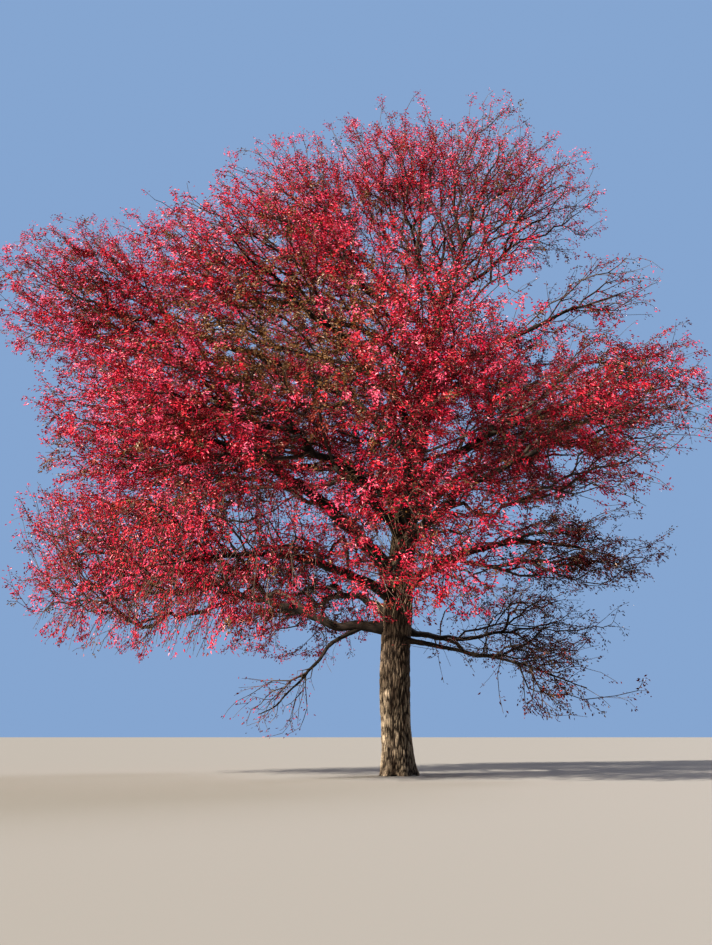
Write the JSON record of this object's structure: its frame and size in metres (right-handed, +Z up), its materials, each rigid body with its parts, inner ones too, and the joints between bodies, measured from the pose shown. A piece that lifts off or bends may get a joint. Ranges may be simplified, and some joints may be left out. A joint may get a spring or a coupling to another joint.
{
  "type": "deciduous tree in autumn leaf",
  "caption": "Broad deciduous tree in red autumn leaf: a trunk with a flat cut at ground level, spreading boughs, and masses of twigs and leaves at their ends.",
  "frame": {"origin": "middle of the trunk's flat cut at ground level", "axes": "+Z is up, along the trunk; +X is to the picture's right; +Y leads away from its camera"},
  "size_m": [14.9939, 15.8319, 14.0658],
  "materials": {
    "bark": "grey-brown bark, furrowed lengthwise, dull",
    "foliage": "crimson autumn leaves, slightly glossy, on grey-brown twigs"
  },
  "bodies": {
    "root": {"bough_drooping_west": "bark", "bough_low_east": "bark", "bough_low_north_east": "bark", "bough_low_north_west": "bark", "bough_low_south": "bark", "bough_low_south_east": "bark", "bough_low_south_west": "bark", "bough_low_west": "bark", "bough_mid_east": "bark", "bough_mid_north": "bark", "bough_mid_north_east": "bark", "bough_mid_north_west": "bark", "bough_mid_south": "bark", "bough_mid_south_east": "bark", "bough_mid_south_west": "bark", "bough_mid_west": "bark", "bough_top_crest": "bark", "bough_top_east": "bark", "bough_top_far_east": "bark", "bough_top_west": "bark", "bough_upper_east": "bark", "bough_upper_far_west": "bark", "bough_upper_north_east": "bark", "bough_upper_north_west": "bark", "bough_upper_south_east": "bark", "bough_upper_south_west": "bark", "bough_upper_west": "bark", "mass_drooping_west": "foliage", "mass_heart_crown": "foliage", "mass_heart_east": "foliage", "mass_heart_north": "foliage", "mass_heart_west": "foliage", "mass_low_east": "foliage", "mass_low_north_east": "foliage", "mass_low_north_west": "foliage", "mass_low_south": "foliage", "mass_low_south_east": "foliage", "mass_low_south_west": "foliage", "mass_low_west": "foliage", "mass_mid_east": "foliage", "mass_mid_north": "foliage", "mass_mid_north_east": "foliage", "mass_mid_north_west": "foliage", "mass_mid_south": "foliage", "mass_mid_south_east": "foliage", "mass_mid_south_west": "foliage", "mass_mid_west": "foliage", "mass_top_crest": "foliage", "mass_top_east": "foliage", "mass_top_far_east": "foliage", "mass_top_leader": "foliage", "mass_top_west": "foliage", "mass_upper_east": "foliage", "mass_upper_far_west": "foliage", "mass_upper_north_east": "foliage", "mass_upper_north_west": "foliage", "mass_upper_south_east": "foliage", "mass_upper_south_west": "foliage", "mass_upper_west": "foliage", "trunk": "bark"}
  },
  "joints": []
}
